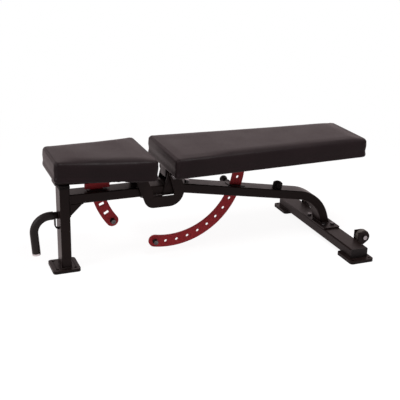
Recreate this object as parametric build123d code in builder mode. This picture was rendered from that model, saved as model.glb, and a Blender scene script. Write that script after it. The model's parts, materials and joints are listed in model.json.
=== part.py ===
from build123d import *

import os
from math import asin, cos, degrees, radians, sin, sqrt, tan

os.makedirs("parts", exist_ok=True)

# Adjustable weight bench, in millimetres. The origin is on the floor under the middle of the bench.
# +X points to the head end, -Y to the near side. Places along the bench and heights in side view are
# measured from the pivot shaft, which carries both the seat and the backrest.

# Pivot
pivot_height = 354.5
shaft_diameter = 20
running_fit = 0.05
side_play = 0.5
nut_size = 30
nut_height = 10
thread_end = 1.5

# Frame tubes
tube_width = 76
tube_depth = 38
tube_wall = 2.5
tube_corner = 5
trim_allowance = 20

# Feet
foot_length = 106
foot_width = 112
foot_corner = 12
foot_thick = 6
sole_thick = 7
foot_hole = 11
foot_hole_pitch_x = 70
foot_hole_pitch_y = 80
rear_hole_pitch = 76
rear_hole_edge = 12
foot_inset = 25

# Front post, its bumper and the front beam
post_reach = 421.5
post_drop = 23.5
front_foot_shift = 3
front_beam_drop = 66.5
joint_reach = 29.5
joint_plate_thick = 4
gusset_leg_x = 48
gusset_leg_z = 46
bumper_gap = 0.4
bumper_overhang = 1.5
bumper_groove = 1.6
bumper_ribs = 3

# Rear beam, leg and base
rear_beam_drop = 61
rear_beam_slope = 9.8
leg_angle = 72
leg_bend = 154
base_reach = 703.5
base_half = 309
flange_length = 190
flange_thick = 6
flange_bolt_pitch_x = 40
flange_bolt_pitch_y = 126

# Bolts
bolt_diameter = 10
bolt_head_size = 17
bolt_head_height = 7
bolt_length = 20
beam_bolt_front = 66
beam_bolt_rear = 74

# Plastic caps in tube ends
cap_thick = 3
cap_plug = 12
front_cap_plug = 6
cap_play = 0.2

# Transport wheels
wheel_diameter = 54
wheel_width = 22
wheel_gap = 2
wheel_height = 62
wheel_groove = 1.5
hub_recess = 3
hub_radius = 14
axle_diameter = 10
cheek_thick = 5
cheek_radius = 24
cheek_rise = 0.5
cheek_wrap = 60
bracket_outer_y = 240

# Lifting handle
handle_height = 219.5
handle_stand = 94
handle_bend = 62
handle_lean = 3.8
handle_end = 76
handle_diameter = 27
handle_wall = 2.5
grip_wall = 2.5
grip_start = 20
ring_length = 8
ring_fillet = 2
stay_reach = 14
stay_thick = 5
stay_width = 14
stay_drop = 38.5

# Pivot lugs on the beams and link plates under the seat
lug_thick = 6
lug_radius = 20.5
lug_half = 40
lug_depth = 86
lug_foot = 10
link_gap = 10
link_thick = 6
link_radius = 20.5
link_depth = 128.5
link_bar = 44.5
link_front = 108.5
link_rear = 41
link_lean = 20.8
link_arm = 46
link_top = 14
link_shoulder = 48
link_window_rear = 4.6
link_front_corner = 40
link_rear_corner = 60
link_window_corner = 6
bush_wall = 4
bush_flange = 3

# Backrest
back_tube_width = 60
back_tube_front = 26.5
back_tube_rear = 603
back_pad_front = 34
back_pad_rear = 810
back_half_front = 176
back_half_rear = 140
back_mount_front = 80
back_mount_rear = 520

# Seat
seat_tilt = 2.2
seat_tube_drop = 7
seat_tube_width = 60
seat_tube_front = 455
seat_tube_rear = 112
seat_pad_front = 475
seat_pad_rear = 98.5
seat_half_front = 113
seat_half_rear = 168
seat_mount_front = 400
seat_mount_rear = 200
spacer_length = 34
spacer_height = 30
spacer_set = 20

# Pads and what holds them
pad_thick = 74
pad_corner = 18
pad_edge = 10
pad_crown = 3
pad_draw = 1.25
pad_belly = 40
lip_round = 3
lip_groove = 2.5
crown_inset = 46
edge_angles = (30, 60, 85)
board_thick = 15
board_inset = 8
mount_thick = 5
mount_length = 50
mount_width = 190
screw_diameter = 8
screw_head = 14
screw_head_height = 5.5
screw_bite = 12
screw_pitch_y = 150

# Perforated arcs
arc_thick = 10
arc_band = 49
arc_slot_play = 3
arc_slot_width = 16
arc_slot_sweep = 45
liner_thick = 2.5
liner_fillet = 0.6
liner_play = 1
liner_width = 40
liner_margin = 14
back_arc_radius = 299
back_pin_angle = -20.3
back_pitch = 9
back_holes_up = 8
back_holes_down = 1
seat_arc_radius = 295
seat_pin_angle = 193.7
seat_pitch = 8.1
seat_holes_up = 2
seat_slot_length = 20
seat_slot_corner = 3
seat_plate_front = 337.5
seat_plate_rear = 241.5
seat_plate_bottom = 42.5
seat_band_start = 186
sleeve_diameter = 20
sleeve_length = 12

# Backrest bumper on the rear beam
back_bumper_reach = 478.5
back_bumper_diameter = 40
back_bumper_gap = 0.5
back_bumper_dome = 9
back_bumper_ribs = 3

# Pull pins
pin_diameter = 12
pin_play = 0.5
pin_clear = 1.5
pin_travel = 16
pin_chamfer = 2
rod_diameter = 9
collar_length = 3.5
collar_step = 1.7
spring_solid = 9
spring_play = 0.8
barrel_diameter = 24
barrel_chamber = 16
barrel_end = 4
barrel_chamfer = 2
knob_diameter = 33
knob_length = 34
knob_bite = 14
knob_neck = 22
knob_wrap = 110

# Worked-out places
grip_diameter = handle_diameter + 2 * grip_wall
handle_reach = post_reach + tube_depth / 2 + handle_stand
pivot_x = (handle_reach + grip_diameter / 2 - back_pad_rear) / 2
foot_top = sole_thick + foot_thick
foot_center_y = base_half - foot_inset
rear_hole_shift = foot_width / 2 - rear_hole_edge
base_x = pivot_x + base_reach
base_top = foot_top + tube_depth
flange_top = base_top + flange_thick
post_x = pivot_x - post_reach
post_top = pivot_height - post_drop
post_front = post_x - tube_depth / 2
post_rear = post_x + tube_depth / 2
joint_x = pivot_x - joint_reach
front_beam_height = pivot_height - front_beam_drop
front_beam_end = joint_x - joint_plate_thick
front_bolt_x = front_beam_end - beam_bolt_front
half_tube = tube_width / 2
link_inner = half_tube + lug_thick + link_gap
link_outer = link_inner + link_thick
slope_sin = sin(radians(rear_beam_slope))
slope_tan = tan(radians(rear_beam_slope))
slope_cos = cos(radians(rear_beam_slope))
tilt_sin = sin(radians(seat_tilt))
tilt_cos = cos(radians(seat_tilt))
pivot = (pivot_x, 0, pivot_height)

# Side planes have +X to the right and +Z up. A positive offset moves them to the near side.
side = Plane(origin=pivot, x_dir=(1, 0, 0), z_dir=(0, -1, 0))
back_plan = Plane(origin=pivot, x_dir=(1, 0, 0), z_dir=(0, 0, 1))
seat_plan = Plane(origin=pivot, x_dir=(tilt_cos, 0, -tilt_sin), z_dir=(tilt_sin, 0, tilt_cos))
seat_side = Plane(origin=pivot, x_dir=(tilt_cos, 0, -tilt_sin), z_dir=(0, -1, 0))


def save(part, name):
    """Label a finished piece and write it."""
    part.label = name
    export_step(part, f"parts/{name}.step")


def polar(radius, angle):
    """Side-view point at a radius and an angle about the pivot."""
    return (radius * cos(radians(angle)), radius * sin(radians(angle)))


def rear_beam_line(reach):
    """Height of the rear beam's centreline, relative to the pivot."""
    return -rear_beam_drop - slope_tan * reach


def seat_line(reach, offset):
    """Height of a line that runs along the seat, relative to the pivot."""
    return (offset - reach * tilt_sin) / tilt_cos


def rear_beam_plane(reach):
    """Plane on the rear beam's top, with +X along the beam and +Z out of it."""
    height = pivot_height + rear_beam_line(reach) + tube_depth / 2 / slope_cos
    along = (slope_cos, 0, -slope_sin)
    return Plane((pivot_x + reach, 0, height), x_dir=along, z_dir=(slope_sin, 0, slope_cos))


def tube_section(plane, width, depth):
    """Hollow section of a rectangular tube, its width along the plane's own X."""
    with BuildSketch(plane) as section:
        RectangleRounded(width, depth, tube_corner)
        bore = (width - 2 * tube_wall, depth - 2 * tube_wall)
        RectangleRounded(*bore, tube_corner - tube_wall, mode=Mode.SUBTRACT)
    return section.sketch


def band_section(plane, radius, band, start, end):
    """Curved band about the pivot, between two angles."""
    with BuildSketch(plane) as section:
        with BuildLine():
            outer = CenterArc((0, 0), radius + band / 2, start, end - start)
            inner = CenterArc((0, 0), radius - band / 2, start, end - start)
            Line(outer @ 0, inner @ 0)
            Line(outer @ 1, inner @ 1)
        make_face()
    return section.sketch


def hex_bolt(plane, head_size, head_height, diameter, length):
    """Hex bolt whose head seats on a plane, with its shank going in."""
    with BuildPart() as bolt:
        with BuildSketch(plane):
            RegularPolygon(head_size / 2, 6, major_radius=False)
        extrude(amount=head_height)
        with BuildSketch(plane):
            Circle(diameter / 2)
        extrude(amount=-length)
    return bolt.part


def group(parts):
    """Loose identical pieces that share one node."""
    return Compound(children=list(parts))


# Feet: steel plates on rubber soles, with bolt-down holes through both
def foot_slab(center_x, center_y, bottom, thickness, hole_places):
    with BuildPart() as slab:
        with BuildSketch(Plane((center_x, center_y, bottom))):
            RectangleRounded(foot_length, foot_width, foot_corner)
            with Locations(*hole_places):
                Circle(foot_hole / 2, mode=Mode.SUBTRACT)
        extrude(amount=thickness)
    return slab.part


def rear_slabs(bottom, thickness):
    """Both rear feet, each with a pair of holes outside the end of the base."""
    return group(
        foot_slab(
            base_x,
            toward * foot_center_y,
            bottom,
            thickness,
            [(dx, toward * rear_hole_shift) for dx in (-rear_hole_pitch / 2, rear_hole_pitch / 2)],
        )
        for toward in (-1, 1)
    )


front_holes = [
    (dx, dy)
    for dx in (-foot_hole_pitch_x / 2, foot_hole_pitch_x / 2)
    for dy in (-foot_hole_pitch_y / 2, foot_hole_pitch_y / 2)
]
front_foot_x = post_x - front_foot_shift
save(foot_slab(front_foot_x, 0, 0, sole_thick, front_holes), "front_sole")
save(foot_slab(front_foot_x, 0, sole_thick, foot_thick, front_holes), "front_foot_plate")
save(rear_slabs(0, sole_thick), "rear_soles")
save(rear_slabs(sole_thick, foot_thick), "rear_foot_plates")

# Front post
with BuildPart() as front_post:
    post_foot = Plane((post_x, 0, foot_top), x_dir=(0, 1, 0))
    extrude(tube_section(post_foot, tube_width, tube_depth), amount=post_top - foot_top)
save(front_post.part, "front_post")

# Ribbed rubber bumper on the post, cut along the seat tube that rests on it
seat_tube_under = -seat_tube_drop - tube_depth / 2
bumper_front = -post_reach - tube_depth / 2 - bumper_overhang
bumper_rear = -post_reach + tube_depth / 2 + bumper_overhang
bumper_bottom = post_top - pivot_height
bumper_height = seat_line(bumper_rear, seat_tube_under - bumper_gap) - bumper_bottom
rib_pitch = bumper_height / bumper_ribs
with BuildPart() as post_bumper:
    with BuildSketch(side):
        with BuildLine():
            Polyline(
                (bumper_front, bumper_bottom),
                (bumper_rear, bumper_bottom),
                (bumper_rear, seat_line(bumper_rear, seat_tube_under - bumper_gap)),
                (bumper_front, seat_line(bumper_front, seat_tube_under - bumper_gap)),
                close=True,
            )
        make_face()
    extrude(amount=half_tube + bumper_overhang, both=True)
    fillet(post_bumper.edges().filter_by(Axis.Z), tube_corner)
    for rib in range(1, bumper_ribs):
        groove_bottom = post_top + rib * rib_pitch - bumper_groove / 2
        with BuildSketch(Plane((post_x, 0, groove_bottom), x_dir=(0, 1, 0))):
            Rectangle(tube_width + 4 * bumper_overhang, tube_depth + 4 * bumper_overhang)
            RectangleRounded(tube_width, tube_depth, tube_corner, mode=Mode.SUBTRACT)
        extrude(amount=bumper_groove, mode=Mode.SUBTRACT)
save(post_bumper.part, "post_bumper")

# Pull pin places, where a hole of each arc lines up with a hole in its beam's far wall
back_pin_place = polar(back_arc_radius, back_pin_angle)
seat_pin_place = polar(seat_arc_radius, seat_pin_angle)
pin_hole = pin_diameter / 2 + running_fit

# Front beam, with the slot that the seat arc passes through
front_beam_z = front_beam_height - pivot_height
front_beam_length = front_beam_end - post_rear
with BuildPart() as front_beam:
    beam_start = Plane((post_rear, 0, front_beam_height), x_dir=(0, 1, 0), z_dir=(1, 0, 0))
    extrude(tube_section(beam_start, tube_width, tube_depth), amount=front_beam_length)
    slot_band = arc_band + 2 * arc_slot_play
    slot_face = band_section(side, seat_arc_radius, slot_band, 180, 180 + arc_slot_sweep)
    extrude(slot_face, amount=arc_slot_width / 2, both=True, mode=Mode.SUBTRACT)
    with BuildSketch(side):
        with Locations(seat_pin_place):
            Circle(pin_hole)
    extrude(amount=-tube_width, mode=Mode.SUBTRACT)
    with BuildSketch(Plane((front_bolt_x, 0, front_beam_height))):
        Circle(bolt_diameter / 2)
    extrude(amount=tube_depth, mode=Mode.SUBTRACT)
save(front_beam.part, "front_beam")

# Gusset in the corner under the front beam
with BuildPart() as corner_gusset:
    gusset_corner = (post_rear, 0, front_beam_height - tube_depth / 2)
    with BuildSketch(Plane(gusset_corner, x_dir=(1, 0, 0), z_dir=(0, -1, 0))):
        with BuildLine():
            Polyline((0, 0), (0, -gusset_leg_z), (gusset_leg_x, 0), close=True)
        make_face()
    extrude(amount=half_tube, both=True)
save(corner_gusset.part, "corner_gusset")

# Plate between the ends of the two beams
plate_top = rear_beam_line(-joint_reach) + tube_depth / 2 / slope_cos
plate_bottom = front_beam_z - tube_depth / 2
with BuildPart() as joint_plate:
    plate_middle = pivot_height + (plate_top + plate_bottom) / 2
    with BuildSketch(Plane((front_beam_end, 0, plate_middle), x_dir=(0, 1, 0), z_dir=(1, 0, 0))):
        RectangleRounded(tube_width, plate_top - plate_bottom, tube_corner)
    extrude(amount=joint_plate_thick)
save(joint_plate.part, "joint_plate")

# Rear beam: one tube that slopes back and bends down into the leg
leg_tan = tan(radians(leg_angle))
leg_foot = flange_top - pivot_height
corner_reach = (leg_foot + base_reach * leg_tan + rear_beam_drop) / (leg_tan - slope_tan)
with BuildPart() as rear_beam:
    with BuildLine(side) as rear_path:
        FilletPolyline(
            (-joint_reach - trim_allowance, rear_beam_line(-joint_reach - trim_allowance)),
            (corner_reach, rear_beam_line(corner_reach)),
            (base_reach + trim_allowance / leg_tan, leg_foot - trim_allowance),
            radius=leg_bend,
        )
    path_start = Plane(rear_path.line @ 0, x_dir=(0, 1, 0), z_dir=rear_path.line % 0)
    sweep(tube_section(path_start, tube_width, tube_depth), path=rear_path.line)
    split(bisect_by=Plane.YZ.offset(joint_x), keep=Keep.TOP)
    split(bisect_by=Plane.XY.offset(flange_top), keep=Keep.TOP)
    slot_face = band_section(side, back_arc_radius, slot_band, -arc_slot_sweep, 0)
    extrude(slot_face, amount=arc_slot_width / 2, both=True, mode=Mode.SUBTRACT)
    with BuildSketch(side):
        with Locations(back_pin_place):
            Circle(pin_hole)
    extrude(amount=-tube_width, mode=Mode.SUBTRACT)
    with BuildSketch(rear_beam_plane(beam_bolt_rear)):
        Circle(bolt_diameter / 2)
    extrude(amount=-tube_depth / 2, mode=Mode.SUBTRACT)
save(rear_beam.part, "rear_beam")

# Hex bolts on the tops of the beams
beam_bolts = group(
    hex_bolt(plane, bolt_head_size, bolt_head_height, bolt_diameter, bolt_length)
    for plane in (
        Plane((front_bolt_x, 0, front_beam_height + tube_depth / 2)),
        rear_beam_plane(beam_bolt_rear),
    )
)
save(beam_bolts, "beam_bolts")

# Rear base, end caps, leg flange and its bolts
with BuildPart() as rear_base:
    base_start = Plane((base_x, -base_half, foot_top + tube_depth / 2), x_dir=(1, 0, 0), z_dir=(0, 1, 0))
    extrude(tube_section(base_start, tube_width, tube_depth), amount=2 * base_half)
    with BuildSketch(Plane((base_x, 0, base_top))):
        with GridLocations(flange_bolt_pitch_x, flange_bolt_pitch_y, 2, 2):
            Circle(bolt_diameter / 2)
    extrude(amount=-tube_depth / 2, mode=Mode.SUBTRACT)
save(rear_base.part, "rear_base")


def tube_cap(plane, width, depth, plug=cap_plug):
    """Moulded cap on a tube end: a plate outside and a plug inside. The plane faces out of the tube."""
    inside = 2 * (tube_wall + cap_play)
    with BuildPart() as cap:
        with BuildSketch(plane):
            RectangleRounded(width, depth, tube_corner)
        extrude(amount=cap_thick)
        fillet(cap.faces().sort_by(Axis(plane.origin, plane.z_dir))[-1].edges(), cap_thick / 2)
        with BuildSketch(plane):
            RectangleRounded(width - inside, depth - inside, tube_corner - tube_wall)
        extrude(amount=-plug)
    return cap.part


base_ends = (
    Plane((base_x, -base_half, foot_top + tube_depth / 2), x_dir=(1, 0, 0), z_dir=(0, -1, 0)),
    Plane((base_x, base_half, foot_top + tube_depth / 2), x_dir=(1, 0, 0), z_dir=(0, 1, 0)),
)
save(group(tube_cap(plane, tube_width, tube_depth) for plane in base_ends), "base_end_caps")

with BuildPart() as leg_flange:
    with BuildSketch(Plane((base_x, 0, base_top))):
        RectangleRounded(tube_width, flange_length, tube_corner)
        with GridLocations(flange_bolt_pitch_x, flange_bolt_pitch_y, 2, 2):
            Circle(bolt_diameter / 2, mode=Mode.SUBTRACT)
    extrude(amount=flange_thick)
save(leg_flange.part, "leg_flange")

flange_bolt_planes = [
    Plane((base_x + dx, dy, flange_top))
    for dx in (-flange_bolt_pitch_x / 2, flange_bolt_pitch_x / 2)
    for dy in (-flange_bolt_pitch_y / 2, flange_bolt_pitch_y / 2)
]
flange_bolts = group(
    hex_bolt(plane, bolt_head_size, bolt_head_height, bolt_diameter, bolt_length)
    for plane in flange_bolt_planes
)
save(flange_bolts, "flange_bolts")

# Transport wheels in two-plate brackets on the back of the base
base_back = base_x + tube_width / 2
wheel_x = base_back + wheel_gap + wheel_diameter / 2
cheek_space = wheel_width + 2 * wheel_gap
wheel_y = bracket_outer_y - cheek_thick - cheek_space / 2
cheek_bottom = foot_top + cheek_rise


def wheel_cheek(middle_y):
    """One bracket plate, from the base's rear face to a round end about the axle."""
    with BuildPart() as cheek:
        with BuildSketch(Plane((wheel_x, middle_y, wheel_height), x_dir=(1, 0, 0), z_dir=(0, -1, 0))):
            with BuildLine():
                round_end = CenterArc((0, 0), cheek_radius, -cheek_wrap, 90 + cheek_wrap)
                foot = (base_back - wheel_x, cheek_bottom - wheel_height)
                Polyline(round_end @ 1, (foot[0], cheek_radius), foot, round_end @ 0)
            make_face()
            Circle(axle_diameter / 2, mode=Mode.SUBTRACT)
        extrude(amount=cheek_thick / 2, both=True)
    return cheek.part


def wheel_axle(plane):
    """Axle bolt with its head on the outer plate and a nut on the inner one."""
    span = cheek_space + 2 * cheek_thick
    with BuildPart() as axle:
        with BuildSketch(plane):
            Circle(axle_diameter / 2)
        extrude(amount=-span - nut_height)
        for start, height in ((0, bolt_head_height), (-span, -bolt_head_height)):
            with BuildSketch(plane.offset(start)):
                RegularPolygon(bolt_head_size / 2, 6, major_radius=False)
            extrude(amount=height)
    return axle.part


def wheel(center_y):
    """Moulded wheel: a grooved tread and a hub recessed on both sides."""
    half = wheel_width / 2
    tread = wheel_diameter / 2
    half_profile = [
        (half, axle_diameter / 2 + running_fit),
        (half, hub_radius - hub_recess),
        (half - hub_recess, hub_radius),
        (half - hub_recess, tread - 2 * hub_recess),
        (half, tread - hub_recess),
        (half - wheel_groove, tread),
        (wheel_groove, tread),
    ]
    other_half = [(-along, radius) for along, radius in reversed(half_profile)]
    with BuildPart() as roller:
        with BuildSketch(Plane((wheel_x, center_y, wheel_height), x_dir=(0, 1, 0), z_dir=(1, 0, 0))):
            with BuildLine():
                Polyline(*half_profile, (0, tread - wheel_groove), *other_half, close=True)
            make_face()
        revolve(axis=Axis((wheel_x, center_y, wheel_height), (0, 1, 0)))
    return roller.part


outer_cheek = bracket_outer_y - cheek_thick / 2
inner_cheek = outer_cheek - cheek_space - cheek_thick
cheek_places = (-outer_cheek, -inner_cheek, inner_cheek, outer_cheek)
save(group(wheel_cheek(y) for y in cheek_places), "wheel_brackets")
axle_planes = (
    Plane((wheel_x, -bracket_outer_y, wheel_height), x_dir=(1, 0, 0), z_dir=(0, -1, 0)),
    Plane((wheel_x, bracket_outer_y, wheel_height), x_dir=(1, 0, 0), z_dir=(0, 1, 0)),
)
save(group(wheel_axle(plane) for plane in axle_planes), "wheel_axles")
save(wheel(-wheel_y), "near_wheel")
save(wheel(wheel_y), "far_wheel")

# Lifting handle: a bent tube on the post, its grip, end ring and stay
handle_turn = 90 + handle_lean
lean_tan = tan(radians(handle_lean))
corner_x = pivot_x - handle_reach + handle_bend * (1 - tan(radians(handle_turn / 2)))
handle_side = Plane((0, 0, handle_height), x_dir=(1, 0, 0), z_dir=(0, -1, 0))
handle_drop = handle_height - handle_end
with BuildLine(handle_side) as handle_path:
    FilletPolyline(
        (post_front, 0),
        (corner_x, 0),
        (corner_x + handle_drop * lean_tan, -handle_drop),
        radius=handle_bend,
    )
with BuildLine(handle_side) as grip_path:
    FilletPolyline(
        (post_front - grip_start, 0),
        (corner_x, 0),
        (corner_x + handle_drop * lean_tan, -handle_drop),
        radius=handle_bend,
    )


def ring_section(path, place, outer, inner):
    """Round hollow section across a path."""
    with BuildSketch(Plane(path @ place, z_dir=path % place)) as section:
        Circle(outer / 2)
        Circle(inner / 2, mode=Mode.SUBTRACT)
    return section.sketch


with BuildPart() as handle_tube:
    sweep(
        ring_section(handle_path.line, 0, handle_diameter, handle_diameter - 2 * handle_wall),
        path=handle_path.line,
    )
save(handle_tube.part, "handle_tube")

with BuildPart() as handle_grip:
    sweep(ring_section(grip_path.line, 0, grip_diameter, handle_diameter), path=grip_path.line)
save(handle_grip.part, "handle_grip")

with BuildPart() as handle_ring:
    with BuildSketch(Plane(grip_path.line @ 1, z_dir=grip_path.line % 1)):
        Circle(grip_diameter / 2)
    extrude(amount=ring_length)
    fillet(handle_ring.faces().sort_by(Axis.Z)[0].edges(), ring_fillet)
save(handle_ring.part, "handle_end_ring")

stay_x = post_front - stay_reach
with BuildPart() as handle_stay:
    with BuildSketch(handle_side):
        with BuildLine():
            front_curve = CenterArc((post_front, -stay_drop), stay_reach + stay_thick / 2, 180, 90)
            rear_curve = CenterArc((post_front, -stay_drop), stay_reach - stay_thick / 2, 180, 90)
            Line(front_curve @ 1, rear_curve @ 1)
            stay_top = [(stay_x + stay_thick / 2, 0), (stay_x - stay_thick / 2, 0)]
            Polyline(rear_curve @ 0, *stay_top, front_curve @ 0)
        make_face()
    extrude(amount=stay_width / 2, both=True)
    with BuildSketch(Plane((post_front, 0, handle_height), x_dir=(0, 1, 0), z_dir=(-1, 0, 0))):
        Circle(handle_diameter / 2)
    extrude(amount=2 * grip_start, mode=Mode.SUBTRACT)
save(handle_stay.part, "handle_stay")

# Pivot: lugs on the beams, the shaft through them and its two lock nuts
for lug_side, lug_start in (("near", half_tube), ("far", -half_tube - lug_thick)):
    with BuildPart() as pivot_lug:
        with BuildSketch(side.offset(lug_start)):
            Circle(lug_radius)
            with Locations((0, lug_foot / 2 - lug_depth)):
                Rectangle(2 * lug_half, lug_foot)
            make_hull()
            Circle(shaft_diameter / 2, mode=Mode.SUBTRACT)
        extrude(amount=lug_thick)
    save(pivot_lug.part, f"{lug_side}_pivot_lug")

nut_start = link_outer + side_play
with BuildPart() as pivot_shaft:
    with BuildSketch(side):
        Circle(shaft_diameter / 2)
    extrude(amount=nut_start + nut_height + thread_end, both=True)
    chamfer(pivot_shaft.edges().filter_by(GeomType.CIRCLE), thread_end)
save(pivot_shaft.part, "pivot_shaft")


def pivot_nut(start):
    with BuildPart() as nut:
        with BuildSketch(side.offset(start)):
            RegularPolygon(nut_size / 2, 6, major_radius=False)
            Circle(shaft_diameter / 2, mode=Mode.SUBTRACT)
        extrude(amount=nut_height)
    return nut.part


save(group(pivot_nut(start) for start in (nut_start, -nut_start - nut_height)), "pivot_nuts")

# Liners on the beams, which guide the arcs through their slots
liner_band = arc_band + 2 * liner_play


def liner(plane, radius, start, end):
    """Slotted plate on a beam, its slot cut along the arc. The plane lies on the beam's top."""
    with BuildPart() as plate:
        with BuildSketch(plane):
            RectangleRounded(arc_band + 2 * liner_margin, liner_width, tube_corner)
        extrude(amount=liner_thick)
        fillet(plate.edges().filter_by(GeomType.LINE).group_by(Axis.Z)[-1], liner_fillet)
        slot_face = band_section(side, radius, liner_band, start, end)
        extrude(slot_face, amount=arc_thick / 2 + liner_play, both=True, mode=Mode.SUBTRACT)
    return plate.part


front_beam_top = front_beam_z + tube_depth / 2
seat_cross = -sqrt(seat_arc_radius**2 - front_beam_top**2)
seat_liner_plane = Plane((pivot_x + seat_cross, 0, pivot_height + front_beam_top))

beam_top_drop = rear_beam_drop - tube_depth / 2 / slope_cos
cross_a = 1 + slope_tan**2
cross_b = beam_top_drop * slope_tan
cross_c = beam_top_drop**2 - back_arc_radius**2
back_cross = (sqrt(cross_b**2 - cross_a * cross_c) - cross_b) / cross_a
arc_liners = group(
    (
        liner(seat_liner_plane, seat_arc_radius, 180, 180 + arc_slot_sweep),
        liner(rear_beam_plane(back_cross), back_arc_radius, -arc_slot_sweep, 0),
    )
)
save(arc_liners, "arc_liners")

# Backrest bumper: a ribbed rubber dome that meets the backrest tube one hole below level
decline = radians(back_pitch * back_holes_down)
tube_under = -tube_depth / 2
meet = (back_bumper_reach + tube_under * -sin(decline)) / cos(decline)
decline_height = -meet * sin(decline) + tube_under * cos(decline)
beam_top = rear_beam_line(back_bumper_reach) + tube_depth / 2 / slope_cos
back_bumper_height = (decline_height - beam_top) * slope_cos - back_bumper_gap
bumper_plane = rear_beam_plane(back_bumper_reach)
with BuildPart() as back_bumper:
    radius = back_bumper_diameter / 2
    dome_start = back_bumper_height - back_bumper_dome
    dome_radius = (radius**2 + back_bumper_dome**2) / (2 * back_bumper_dome)
    dome_angle = degrees(asin((dome_radius - back_bumper_dome) / dome_radius))
    groove_pitch = dome_start / back_bumper_ribs
    grooves = []
    for rib in range(1, back_bumper_ribs):
        groove = rib * groove_pitch + bumper_groove
        grooves.append((radius, groove - bumper_groove))
        grooves.append((radius - bumper_groove, groove))
        grooves.append((radius, groove + bumper_groove))
    profile_plane = Plane(bumper_plane.origin, x_dir=bumper_plane.x_dir, z_dir=(0, -1, 0))
    with BuildSketch(profile_plane):
        with BuildLine():
            dome_center = (0, back_bumper_height - dome_radius)
            dome = CenterArc(dome_center, dome_radius, dome_angle, 90 - dome_angle)
            Polyline(dome @ 1, (0, 0), (radius, 0), *grooves, dome @ 0)
        make_face()
    revolve(axis=Axis(bumper_plane.origin, bumper_plane.z_dir))
save(back_bumper.part, "back_bumper")

# Pull pins, drawn back just clear of their arcs: barrel, spring, pin and knob along Y
collar_in = half_tube + side_play + pin_travel
collar_out = collar_in + collar_length
chamber_end = collar_out + spring_solid
barrel_out = chamber_end + barrel_end
knob_start = barrel_out + pin_travel + pin_clear
pin_tip = arc_thick / 2 + pin_clear
pin_radius = pin_diameter / 2
rod_radius = rod_diameter / 2
barrel_radius = barrel_diameter / 2
chamber_radius = barrel_chamber / 2
knob_radius = knob_diameter / 2


def turned(place, points):
    """Piece turned about a cross axis at a side-view place, from points of distance along Y and radius."""
    origin = Vector(pivot_x + place[0], 0, pivot_height + place[1])
    with BuildPart() as piece:
        with BuildSketch(Plane(origin, x_dir=(0, 1, 0), z_dir=(1, 0, 0))):
            with BuildLine():
                Polyline(*points, close=True)
            make_face()
        revolve(axis=Axis(origin, (0, 1, 0)))
    return piece.part


def pull_knob(place):
    """Domed knob moulded on the end of a pull pin's rod."""
    origin = Vector(pivot_x + place[0], 0, pivot_height + place[1])
    knob_end = knob_start + knob_length
    with BuildPart() as knob:
        with BuildSketch(Plane(origin, x_dir=(0, 1, 0), z_dir=(1, 0, 0))):
            with BuildLine():
                ball = CenterArc((knob_end - knob_radius, 0), knob_radius, 0, knob_wrap)
                Polyline(
                    ball @ 0,
                    (knob_start + knob_bite, 0),
                    (knob_start + knob_bite, rod_radius),
                    (knob_start, rod_radius),
                    (knob_start, knob_neck / 2),
                    ball @ 1,
                )
            make_face()
        revolve(axis=Axis(origin, (0, 1, 0)))
    return knob.part


def pin_barrel(place):
    """Barrel on a beam's far wall, which holds the spring and guides the rod."""
    return turned(
        place,
        [
            (half_tube, chamber_radius),
            (chamber_end, chamber_radius),
            (chamber_end, rod_radius + running_fit),
            (barrel_out, rod_radius + running_fit),
            (barrel_out, barrel_radius - barrel_chamfer),
            (barrel_out - barrel_chamfer, barrel_radius),
            (half_tube, barrel_radius),
        ],
    )


def pull_pin(place):
    """Pin with the collar that its spring pushes on, and the rod that carries the knob."""
    return turned(
        place,
        [
            (pin_tip, 0),
            (pin_tip, pin_radius - pin_chamfer),
            (pin_tip + pin_chamfer, pin_radius),
            (collar_in, pin_radius),
            (collar_in, pin_radius + collar_step),
            (collar_out, pin_radius + collar_step),
            (collar_out, rod_radius),
            (knob_start + knob_bite, rod_radius),
            (knob_start + knob_bite, 0),
        ],
    )


def pin_spring(place):
    """Space of the spring, pressed together between collar and barrel end."""
    return turned(
        place,
        [
            (collar_out, rod_radius + spring_play),
            (chamber_end, rod_radius + spring_play),
            (chamber_end, chamber_radius - spring_play),
            (collar_out, chamber_radius - spring_play),
        ],
    )


pin_places = {"back": back_pin_place, "seat": seat_pin_place}
save(group(pin_barrel(place) for place in pin_places.values()), "pin_barrels")
for pin_name, place in pin_places.items():
    save(pull_pin(place), f"{pin_name}_pin")
    save(pin_spring(place), f"{pin_name}_pin_spring")
    save(pull_knob(place), f"{pin_name}_pin_knob")


def stop_bolt(place):
    """Bolt across an arc's end, with a hex head on each side of its sleeves."""
    reach = arc_thick / 2 + sleeve_length
    with BuildPart() as bolt:
        with BuildSketch(side):
            with Locations(place):
                Circle(bolt_diameter / 2)
        extrude(amount=reach, both=True)
        for start, height in ((reach, bolt_head_height), (-reach, -bolt_head_height)):
            with BuildSketch(side.offset(start)):
                with Locations(place):
                    RegularPolygon(bolt_head_size / 2, 6, major_radius=False)
            extrude(amount=height)
    return bolt.part


def stop_sleeve(place, start):
    """Rubber sleeve on a stop bolt, beside the arc."""
    with BuildPart() as sleeve:
        with BuildSketch(side.offset(start)):
            with Locations(place):
                Circle(sleeve_diameter / 2)
                Circle(bolt_diameter / 2, mode=Mode.SUBTRACT)
        extrude(amount=sleeve_length)
    return sleeve.part


def stop_sleeves(place):
    return group(stop_sleeve(place, start) for start in (arc_thick / 2, -arc_thick / 2 - sleeve_length))


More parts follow.
